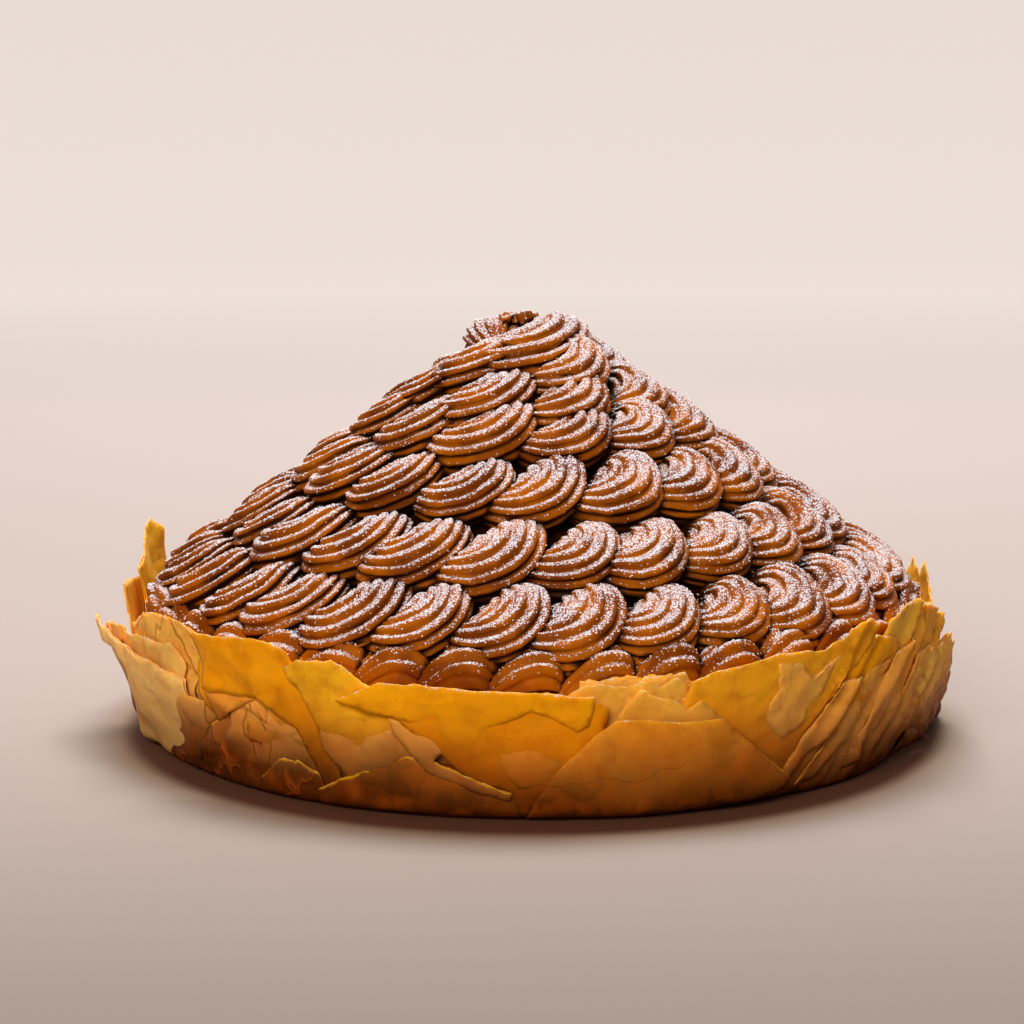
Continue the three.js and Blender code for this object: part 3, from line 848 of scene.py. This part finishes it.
FRONT_LEAVES = [
    leaf(5, 0.95, 0.05, 0.3, 0.7, (-34.3, 36.6, 2), (-32.3, 39.2, 1.7), (-29, 39.4, 1.3),
         (-27.1, 40.4, 1), (-25.3, 39, 0.8), (-22.8, 35, 0.5), (-18, 30, 0.2), (-18, 22),
         (-26.2, 8), (-29.9, 16.8, 0.2), (-32, 27.8, 0.8)),
    leaf(5.7, 0.35, 0.3, 0.3, 0.4, (-30, 20.9, 0.2), (-24, 21.6, 0.2), (-17.9, 23, 0.2),
         (-15, 17.6), (-25.6, 7), (-30.1, 16.3, 0.2)),
    leaf(6, 0.1, 0.1, 0.5, 0.4, (-31.2, 0.5), (-30.9, 4.8, 0.2), (-27.1, 8.3, 0.2),
         (-17.1, 16.5, 0.2), (-12, 13.4), (-6, 10), (-2.6, 5.8), (-1.8, 0.5)),
    leaf(6.6, 0.25, 0.0, 0.3, 0.3, (-26.4, 29.8, 2), (-22.9, 33, 2), (-20.4, 35, 1.6),
         (-8.4, 34.4, 1), (7.3, 32.6, 1), (9.4, 30, 0.4), (8.8, 22), (3.4, 10), (0, 4),
         (-1.6, 0.5), (-3.5, 7.9), (-8.5, 10.8), (-13, 18, 0.2), (-18, 25.6, 0.8),
         (-23.9, 28.3, 1.6)),
    leaf(7.2, 0.3, 0.35, 0.3, 0.35, (-19.4, 26.6, 1), (-14.9, 23.6, 0.4), (-12.1, 18.3, 0.2),
         (-13.6, 15.6, 0.2), (-8.2, 11.2, 0.1), (-3.1, 7.5), (-3.3, 5.6), (-9.6, 8.8),
         (-14.6, 12.8, 0.1), (-16.9, 17.8, 0.3), (-19, 22.4, 0.5)),
    leaf(7.4, 0.55, 0.0, 0.3, 0.35, (-26.5, 30, 2.1), (-22.9, 33.5, 2), (-20.4, 35.7, 1.7),
         (-15.1, 36.1, 1.3), (-8.4, 35, 1.1), (0.9, 34.7, 1.1), (7.3, 33.2, 1.1), (7.4, 30.9, 1),
         (6.9, 25.8, 0.6), (5.3, 24, 0.5), (1.8, 27.9, 0.4), (-0.7, 30, 0.5), (-3.5, 27, 0.3),
         (-6.7, 24, 0.2), (-7.8, 18.7, 0.1), (-10, 16.4, 0.1), (-13.6, 24, 0.3), (-18, 26.2, 0.9),
         (-23.9, 28.5, 1.7)),
    leaf(7.2, 0.2, 0.1, 0.3, 0.5, (-6.5, 15), (-5, 19.5), (1, 20.4), (4.4, 17), (1.6, 9),
         (-2.2, 8.6)),
    leaf(0.5, 0.7, 0.5, 0.5, 0.8, (5, 24), (5.6, 36.4, -0.6), (12, 37.4, -0.6), (17, 37.2, -0.4),
         (20, 37.6, -0.4), (23, 30), (20, 22)),
    leaf(2, 0.8, 0.35, 0.4, 0.6, (4, 24), (4.4, 34, 0.5), (6.3, 36, 0.6), (10, 35.3, 0.4),
         (13.9, 36, 0.2), (16.2, 34.8, 0.2), (18.8, 36.6, 0.5), (19.8, 35, 0.3),
         (21.4, 31.5, 0.2), (22, 22)),
    leaf(5, 0.75, 0.3, 0.3, 0.4, (9.5, 18), (10.8, 28, 0.5), (11.8, 31, 0.6), (13.4, 34.6, 0.8),
         (14.9, 32.9, 0.8), (18.3, 31, 0.8), (20.1, 28.6, 0.8), (21.9, 30.9, 0.9),
         (25.3, 25, 0.7), (28, 18)),
    leaf(7.6, 0.35, 0.1, 0.25, 0.2, (7.4, 22.6, 0.8), (10.1, 27.2, 1.8), (13.4, 27, 2),
         (19.3, 25.6, 2.2), (24.6, 25.8, 2.4), (28.7, 19, 1.6), (35.3, 8.9, 1.2),
         (36.6, 7.2, 1.2), (36, 5, 1), (33.4, 3, 0.7), (23.9, 1, 0.3), (3.2, 0.5, 0.2),
         (-1.5, 0.5, 0.3), (-0.1, 5.6, 0.4), (3.1, 14.5, 0.5)),
    leaf(8.5, 0.3, 0.15, 0.2, 0.4, (15, 7, 0.2), (16, 9.4, 0.2), (19.5, 8.6, 0.2), (20.4, 6, 0.2),
         (17.6, 4.8, 0.2)),
]
RIGHT_LEAVES = [
    leaf(3, 0.55, 0.05, 0.4, 0.4, (18, 20), (20.6, 35.9, 1), (24, 37.6, 1), (27.4, 38.6, 1),
         (34.2, 40.6, 1), (41.5, 39.3, 1), (45.5, 42.4, 1.6), (47.7, 45.1, 2.4),
         (50.5, 45.2, 2.6), (51.8, 43.1, 2.4), (51.2, 40.9, 2), (48.7, 34, 1.5), (44, 26, 1),
         (40, 14, 0.4), (37, 3), (26, 8)),
    leaf(4.4, 0.5, 0.4, 0.5, 0.5, (33.5, 37.8, 1), (37.8, 37, 1), (38.5, 34, 0.9),
         (40.1, 32.7, 0.8), (41.8, 34.9, 1), (44.6, 37.3, 1.2), (43, 31, 0.9), (40.8, 25, 0.7),
         (38, 19, 0.6), (35.9, 16.8, 0.5), (33, 20.6, 0.5), (31.5, 24.4, 0.5), (33.7, 30.8, 0.8)),
    leaf(2, 0.5, 0.0, 0.7, 0.5, (42, 20, 0.6), (46, 33, 1.6), (48.7, 37, 2.2), (51.6, 40.2, 2.4),
         (55.6, 39.1, 2.4), (58.6, 36.4, 2.4), (58.3, 31.7, 2), (55.5, 24, 1)),
    leaf(1, 0.25, 0.35, 0.6, 0.4, (35, 1), (37, 10, 0.8), (42.1, 17.9, 0.8), (44.5, 26.3, 1),
         (50.4, 30, 1.4), (58, 33, 1.8), (64.5, 36, 2.4), (68, 28, 2.2), (68, 12, 1), (66, 0.6)),
    leaf(3, 0.3, 0.3, 0.5, 0.4, (45, 29.3, 2.2), (50.4, 30.4, 2.4), (45, 18, 1.8),
         (39.5, 10, 1.1), (36.8, 5, 0.8), (36.2, 9, 1)),
    leaf(2.5, 0.3, 0.35, 0.5, 0.4, (51.4, 30.6, 2.2), (57, 32.6, 2.6), (50, 16, 1.6),
         (42.5, 5, 0.7), (38.5, 3, 0.5), (43.6, 14, 1)),
    leaf(2.5, 0.25, 0.4, 0.5, 0.4, (58, 33.4, 2.5), (63.6, 36.4, 3), (60.4, 22, 2), (52, 6, 0.8),
         (46, 3, 0.5), (52.6, 16, 1.1)),
    leaf(2.5, 0.3, 0.4, 0.5, 0.5, (64, 31, 2.8), (70, 31, 3.4), (68, 14, 2), (61, 3, 0.6),
         (55, 2.6, 0.4), (60, 14, 1.1)),
    leaf(1, 1.0, 0.3, 0.5, 0.8, (54, 34, 1), (55.3, 42.4, 2.2), (58.1, 45.6, 2.6),
         (62.7, 46.4, 3), (64.6, 44.2, 2.6), (66, 34, 1.6), (60, 26, 1)),
    leaf(2, 0.45, 0.2, 0.9, 0.5, (63.6, 44, 2.4), (68, 43.4, 3), (72, 40.5, 3.4), (76.2, 37.1, 4),
         (82, 31, 4.6), (78, 24, 3.6), (70.9, 18, 2.4), (64, 16, 1.6), (62.5, 25, 1.6)),
    leaf(2, 0.9, 0.5, 0.8, 1.1, (66, 29, 3), (71, 30, 4), (76, 28, 6), (79, 31.5, 7.5),
         (81.5, 26, 7.8), (85, 26.5, 9), (86, 21, 9), (89, 19, 10), (85, 14, 8), (76, 8, 4.6),
         (68, 6, 1.6), (64, 18, 1.6)),
    leaf(3, 0.8, 0.5, 0.8, 1.1, (76, 5, 3), (80, 14, 6), (85, 15.5, 8.5), (90, 17, 10),
         (92, 12, 9.6), (96, 10, 10), (93, 5, 8), (86, 2, 5.6)),
    leaf(2, 0.7, 0.5, 0.8, 0.9, (68, 0.5), (72, 8, 2), (80, 9, 5), (88, 7, 8.5), (94, 3.4, 10),
         (96, 0.6, 10), (84, 0.4, 4)),
    leaf(2, 1.0, 0.3, 0.7, 1.0, (84, 12, 0.5), (88, 31, 2.4), (93, 35, 3), (97, 38, 3.2),
         (99, 43.5, 3.4), (101, 38.5, 3), (105, 42, 3.2), (107, 36, 2.4), (110, 28, 1), (108, 4)),
]
BACK_LEAVES = dict(start=104.0, end=250.0, pitch=14.6, height=38.0, rise=4.5, lift=2.2)
RIM = dict(sheets=46, half=6.0, foot=14, top=34.5, tilt=2.2, rise=1.8, lean=2, lift=0.3)


def back_leaves():
    spec = BACK_LEAVES
    leaves = []
    bearing, i = spec["start"], 1
    while bearing < spec["end"]:
        reach = spec["pitch"] * (1.1 + 0.25 * scatter(i, 1))
        lean = spec["pitch"] * 0.35 * scatter(i, 2)
        top = spec["height"] + spec["rise"] * scatter(i, 3)
        off = spec["lift"] * (1 + 0.6 * scatter(i, 4))
        corners = [
            (bearing - reach / 2, 0.6),
            (bearing - reach / 2 + lean, top - 5 - 2 * scatter(i, 5), off),
            (bearing - reach / 4 + lean, top, off),
            (bearing + reach / 3 + lean, top - 3 + 2 * scatter(i, 6), 0.8 * off),
            (bearing + reach / 1.7, 0.5 * top, 0.6 * off),
            (bearing + reach / 2, 0.6),
        ]
        yellow, pale = 0.45 + 0.35 * scatter(i, 7), 0.25 + 0.25 * scatter(i, 8)
        leaves.append(leaf(1 + 1.2 * (i % 3), yellow, pale, 0.7, 0.6, *corners))
        bearing += spec["pitch"]
        i += 1
    return leaves


def rim_sheets():
    """Short sheets behind the leaves, which close the rim all round."""
    sheets = []
    foot, lift = RIM["foot"], RIM["lift"]
    for i in range(RIM["sheets"]):
        bearing = 360 * i / RIM["sheets"]
        half = RIM["half"] + 1.5 * scatter(i, 31)
        top = RIM["top"] - RIM["tilt"] * math.cos(math.radians(bearing))
        top += RIM["rise"] * scatter(i, 32)
        lean = RIM["lean"] * scatter(i, 33)
        corners = [
            (bearing - half, foot),
            (bearing - half + lean, top - 1 + scatter(i, 34), lift),
            (bearing + lean, top, 0.2 * scatter(i, 35)),
            (bearing + half + lean, top - 1 + scatter(i, 36), lift),
            (bearing + half, foot),
        ]
        pale = 0.3 + 0.2 * scatter(i, 37)
        sheets.append(leaf(0.6 * (i % 2), 0.7, pale, 0.3, 0.7, *corners))
    return sheets


def inside(polygon, points):
    """Which points lie in the polygon, by counting edges to their right."""
    crossings = np.zeros(len(points), int)
    for a, b in zip(polygon, np.roll(polygon, -1, axis=0)):
        straddles = (a[1] > points[:, 1]) != (b[1] > points[:, 1])
        with np.errstate(divide="ignore", invalid="ignore"):
            cut = a[0] + (points[:, 1] - a[1]) / (b[1] - a[1]) * (b[0] - a[0])
        crossings += straddles & (points[:, 0] < cut)
    return crossings % 2 == 1


def edge_distance(polygon, points):
    """Distance from each point to the polygon's nearest side."""
    nearest = np.full(len(points), np.inf)
    for a, b in zip(polygon, np.roll(polygon, -1, axis=0)):
        along = b - a
        t = np.clip((points - a) @ along / (along @ along), 0, 1)
        gap = np.hypot(*(points - a - t[:, None] * along).T)
        nearest = np.minimum(nearest, gap)
    return nearest


def ragged_outline(corners, seed, ragged):
    """The outline as a closed line of close points, torn a little."""
    line = []
    for a, b in zip(corners, np.roll(corners, -1, axis=0)):
        count = max(1, round(np.hypot(*(b - a)) / EDGE_STEP))
        line.extend(a + (b - a) * k / count for k in range(count))
    line = np.array(line)
    spots = np.column_stack([line, np.full(len(line), seed * 3.7)])
    fine = FINE_TEARS * ragged * noise(spots / FINE_TEAR_WIDTH, 3)
    line[:, 0] += ragged * noise(spots / TEAR_WIDTH, 1)
    line[:, 1] += ragged * noise(spots / TEAR_WIDTH, 2) + fine
    line[:, 1] = np.maximum(line[:, 1], LOWEST_EDGE)
    return line


def folded(points, seed, scale, stretch, lean):
    """Noise folded into sharp creases that run along the given slant."""
    c, s = math.cos(math.radians(lean)), math.sin(math.radians(lean))
    along = points[:, 0] * c + points[:, 1] * s
    across = points[:, 1] * c - points[:, 0] * s
    sheet = np.full(len(points), float(seed))
    spots = np.column_stack([along / (scale * stretch), across / scale, sheet])
    return 0.5 - 2 * np.abs(noise(spots, 17))


def crumple(points, seed, size):
    """A leaf's own relief: sharp creases at three sizes."""
    lean = 60 * scatter(seed, 2.2)
    relief = 0.0
    for key, width, stretch, slant, height in CREASES:
        relief = relief + height * folded(points, seed * 1.9 + key, width, stretch, lean + slant)
    return size * relief


# What all the sheets share. A stretch of wall is where it starts and is full
# at one side, then the same at the other, in degrees.
WAVES = dict(width=(30.0, 16.0), height=0.8)
LEFT_WRINKLES = dict(stretch=(-68, -60, -24, -34), width=9.0, length=1.6, slant=70, height=1.3)
REAR_WRINKLES = dict(start=(84, 100), width=11.0, length=2.0, slant=62, height=0.8)
PLEATS = dict(
    stretch=(38, 46, 84, 74), width=7.5, slant=57.0, height=1.5, crest=0.85,
    wander=3.5, wander_width=16.0, second_height=1.1, second_pitch=1.37, second_sharpness=0.7,
)
FOOT_FADE, FOOT_LEAST = 6, 0.1


def on_stretch(bearing, stretch):
    return between(bearing, *stretch[:2]) * between(bearing, *stretch[2:])


def pleats(points):
    """Slanting folds with a steep side, crossed by finer ones."""
    slant = math.radians(PLEATS["slant"])
    spots = np.column_stack([points / PLEATS["wander_width"], np.ones(len(points))])
    across = points[:, 0] * math.sin(slant) - points[:, 1] * math.cos(slant)
    phase = (across + PLEATS["wander"] * noise(spots, 43)) / PLEATS["width"]
    step, crest = phase % 1, PLEATS["crest"]
    fold = between(step, 0, crest) - between(step, crest, 1) - 0.5
    second = np.abs(np.sin(math.pi * PLEATS["second_pitch"] * phase))
    second = second ** PLEATS["second_sharpness"] - 0.5
    return PLEATS["height"] * fold + PLEATS["second_height"] * second


def wrinkles(points, seed, spec):
    return spec["height"] * folded(points, seed, spec["width"], spec["length"], spec["slant"])


def wall_relief(points):
    """Broad waves, wrinkles at the left and the rear, pleats at the right."""
    bearing = np.degrees(points[:, 0] / BASE_RADIUS)
    flat = np.column_stack([points / WAVES["width"], np.zeros(len(points))])
    relief = WAVES["height"] * noise(flat, 41)
    relief += on_stretch(bearing, LEFT_WRINKLES["stretch"]) * wrinkles(points, 3, LEFT_WRINKLES)
    relief += on_stretch(bearing, PLEATS["stretch"]) * pleats(points)
    rear = between(np.abs(bearing), *REAR_WRINKLES["start"])
    relief += rear * wrinkles(points, 9, REAR_WRINKLES)
    return relief * np.clip(points[:, 1] / FOOT_FADE, FOOT_LEAST, 1)


CRUMPLE_FADE, CRUMPLE_LEAST = 8, 0.15


def leaf_plan(spec, seed, corners):
    """Outline, points and triangles of a leaf laid flat."""
    outline = ragged_outline(corners, seed, spec["ragged"])
    low, high = outline.min(axis=0), outline.max(axis=0)
    columns = np.arange(low[0], high[0], LEAF_GRID)
    rows = np.arange(low[1], high[1], LEAF_GRID)
    grid = np.stack(np.meshgrid(columns, rows), axis=-1).reshape(-1, 2)
    spots = 3.1 * np.column_stack([grid, np.full(len(grid), float(seed))])
    shift = np.column_stack([noise(spots, 4), noise(spots, 6)])
    grid = grid + GRID_JITTER * LEAF_GRID * shift
    grid = grid[inside(outline, grid)]
    grid = grid[edge_distance(outline, grid) > 0.5 * LEAF_GRID]
    flat = [Vector(p) for p in np.concatenate([outline, grid]).tolist()]
    made = geometry.delaunay_2d_cdt(flat, [], [list(range(len(outline)))], 1, 1e-4)
    return outline, np.array([tuple(p) for p in made[0]]), np.array([tuple(f) for f in made[2]])


def leaf_mesh(spec, seed, layer):
    """Points, faces and colour marks of one leaf as a thin solid."""
    corners = spec["at"][:, :2] * (math.radians(1) * BASE_RADIUS, 1)
    lifts = spec["at"][:, 2]
    outline, plan, faces = leaf_plan(spec, seed, corners)
    x, z = plan.T
    gaps = np.hypot(x[:, None] - corners[None, :, 0], z[:, None] - corners[None, :, 1])
    weights = 1 / (gaps + 0.01) ** 3
    lift = (weights * lifts).sum(axis=1) / weights.sum(axis=1)
    edge = edge_distance(outline, plan)
    relief = crumple(plan, seed, spec["crumple"]) * np.clip(z / CRUMPLE_FADE, CRUMPLE_LEAST, 1)
    relief += wall_relief(plan)
    radius = wall_radius(z) + LAYER_STEP * layer + lift + relief + STANDOFF
    radius -= (FOOT_TUCK + LAYER_STEP * layer) * np.clip(1 - z / FOOT_HEIGHT, 0, 1) ** 2
    hug = np.clip(1 - edge / EDGE_HUG_WIDTH, 0, 1) ** 2 * (1 - between(z, *FREE_HEIGHT))
    radius -= EDGE_HUG * hug
    front = polar(radius + LEAF_THICKNESS, x / BASE_RADIUS, z)
    back = polar(radius, x / BASE_RADIUS, z)
    count = len(plan)
    sides = dict.fromkeys(
        pair for a, b, c in faces.tolist() for pair in ((a, b), (b, c), (c, a)))
    walls = [[b, a, a + count, b + count] for a, b in sides if (b, a) not in sides]
    traits = (spec["yellow"], spec["pale"], min(1.0, spec["crumple"]))
    marks = np.column_stack([
        np.clip(edge / EDGE_MARK_WIDTH, 0, 1), *(np.full(count, trait) for trait in traits),
    ])
    return (
        np.concatenate([front, back]),
        faces.tolist() + (faces[:, ::-1] + count).tolist() + walls,
        np.concatenate([marks, marks]),
    )


def leaves_piece(name, leaves, material, first_seed, plies=2):
    made = [
        leaf_mesh(spec, first_seed + k + PLY_SEED_STEP * ply, spec["layer"] - PLY_STEP * ply)
        for k, spec in enumerate(leaves)
        for ply in range(plies)
    ]
    points, faces = joined([part[:2] for part in made])
    piece = make_mesh(name, points, faces, material)
    traits = piece.data.color_attributes.new("leaf", "FLOAT_COLOR", "POINT")
    traits.data.foreach_set("color", np.concatenate([part[2] for part in made]).ravel())
    return piece


def make_case():
    material = pastry_material()
    top, floor = WALL_HEIGHT, FLOOR_THICKNESS
    profile = [
        (0, 0),
        (wall_radius(0) - 1.5, 0),
        (wall_radius(2), 2),
        (wall_radius(top), top),
        (wall_radius(top) - WALL_THICKNESS, top),
        (wall_radius(floor) - WALL_THICKNESS, floor),
        (0, floor),
    ]
    pieces = [
        lathe("case_wall", profile, material),
        leaves_piece("leaves_left", LEFT_LEAVES, material, 1),
        leaves_piece("leaves_front", FRONT_LEAVES, material, 20),
        leaves_piece("leaves_right", RIGHT_LEAVES, material, 40),
        leaves_piece("leaves_back", back_leaves(), material, 60),
        leaves_piece("leaves_rim", rim_sheets(), material, 80, plies=1),
    ]
    for piece in pieces:
        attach(piece, "root")
        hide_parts("filo_case")


# ---- camera, stage and light ----


CAMERA = dict(lens=114.0, sensor=36.0, place=(-0.006, -0.900, 0.2166), tilt=80.18)


def make_camera():
    camera = bpy.data.objects.new("camera", bpy.data.cameras.new("camera"))
    camera.data.lens = CAMERA["lens"]
    camera.data.sensor_width = CAMERA["sensor"]
    camera.location = CAMERA["place"]
    camera.rotation_euler = (math.radians(CAMERA["tilt"]), 0, 0)
    bpy.context.scene.collection.objects.link(camera)
    bpy.context.scene.camera = camera


SWEEP_NEAR_SHADE = (0.106, 0.078, 0.062)
SWEEP_MIDDLE = (0.385, 0.325, 0.305)
SWEEP_FAR = (0.45, 0.39, 0.375)
SWEEP_GLOW = (0.80, 0.70, 0.635)
HALO_SHADOW_TONE = (0.31, 0.19, 0.07)
CONTACT_SHADOW_TONE = (0.085, 0.018, 0.0006)

# The sweep's tones follow how far back they lie, a painted shade darker towards
# the camera; the painted shadows at the case's foot follow the reach from its
# axis, by the case's own oval.
MIDDLE_BY_Y = (-0.55, 0.15)
FAR_BY_Y = (0.1, 0.7)
GLOW_BY_Y = (0.3, 1.2)
CASE_OVAL = (1, 0.955, 1)
HALO_SHADOW_BY_REACH = (0.110, 0.130, 0.6, 0.0)
CONTACT_SHADOW_BY_REACH = (0.111, 0.118, 0.99, 0.0)

# The sweep's form, in metres.
SWEEP = dict(bend=1.6, back=2.8, height=4.0, half_width=5.0, bend_steps=12)
SWEEP_FLAT = (-2.5, -1.0, 0.0)


def sweep_material():
    shader = Shader("paper_sweep")
    y = shader.xyz(shader.spot())["Y"]
    # Painted shade: the floor darkens towards the camera.
    tone = shader.mix(shader.ramp(y, *MIDDLE_BY_Y), SWEEP_NEAR_SHADE, SWEEP_MIDDLE)
    tone = shader.mix(shader.ramp(y, *FAR_BY_Y), tone, SWEEP_FAR)
    glow = shader.ramp(y, *GLOW_BY_Y)
    tone = shader.mix(glow, tone, (0.0, 0.0, 0.0))
    reach = shader.add("VectorMath", {0: shader.place(CASE_OVAL)}, operation="LENGTH")["Value"]
    # Painted shadow round the case's foot: a warm brown halo, then a near-black contact shadow.
    tone = shader.mix(shader.ramp(reach, *HALO_SHADOW_BY_REACH), tone, HALO_SHADOW_TONE)
    tone = shader.mix(shader.ramp(reach, *CONTACT_SHADOW_BY_REACH), tone, CONTACT_SHADOW_TONE)
    return shader.finish(
        Base_Color=tone,
        Emission_Color=SWEEP_GLOW,
        Emission_Strength=glow,
        Roughness=0.9,
    )


def make_stage():
    """A pale sweep: floor, a round turn up, and a backdrop."""
    bend, back, half_width = SWEEP["bend"], SWEEP["back"], SWEEP["half_width"]
    profile = [(y, 0.0) for y in SWEEP_FLAT] + [(back - bend, 0.0)]
    for k in range(1, SWEEP["bend_steps"] + 1):
        angle = math.pi / 2 * k / SWEEP["bend_steps"]
        profile.append((back - bend + bend * math.sin(angle), bend - bend * math.cos(angle)))
    profile.append((back, SWEEP["height"]))
    points = np.array([(x, y, z) for y, z in profile for x in (-half_width, half_width)]) / MM
    faces = [[2 * k, 2 * k + 1, 2 * k + 3, 2 * k + 2] for k in range(len(profile) - 1)]
    floor = make_mesh("sweep", points, faces, sweep_material())


# Lights: place and target, size, power and colour.
LIGHTS = dict(
    key=((0.06, 0.5, 1.25), (0, 0.03, 0.04), (0.8, 0.6), 25, (1.0, 0.97, 0.94)),
    front_fill=((-0.3, -1.05, 0.62), (0, 0, 0.03), (0.7, 0.5), 12, (1.0, 0.92, 0.83)),
)
ROOM_COLOUR = (1.0, 0.93, 0.88, 1.0)
ROOM_LIGHT = 0.15


def area_light(name, place, target, size, power, colour):
    light = bpy.data.lights.new(name, "AREA")
    light.shape = "RECTANGLE"
    light.size, light.size_y = size
    light.energy = power
    light.color = colour
    lamp = bpy.data.objects.new(name, light)
    lamp.location = place
    aim = Vector(target) - Vector(place)
    lamp.rotation_euler = aim.to_track_quat("-Z", "Y").to_euler()
    bpy.context.scene.collection.objects.link(lamp)


def make_light():
    world = bpy.data.worlds.new("room")
    bpy.context.scene.world = world
    world.use_nodes = True
    background = world.node_tree.nodes["Background"]
    background.inputs["Color"].default_value = ROOM_COLOUR
    background.inputs["Strength"].default_value = ROOM_LIGHT
    for name, settings in LIGHTS.items():
        area_light(name, *settings)
    bpy.context.scene.view_settings.view_transform = "Standard"


make_camera()
make_stage()
make_light()
cream = make_cream()
make_case()
mark_exposure(cream)
make_sugar(cream)
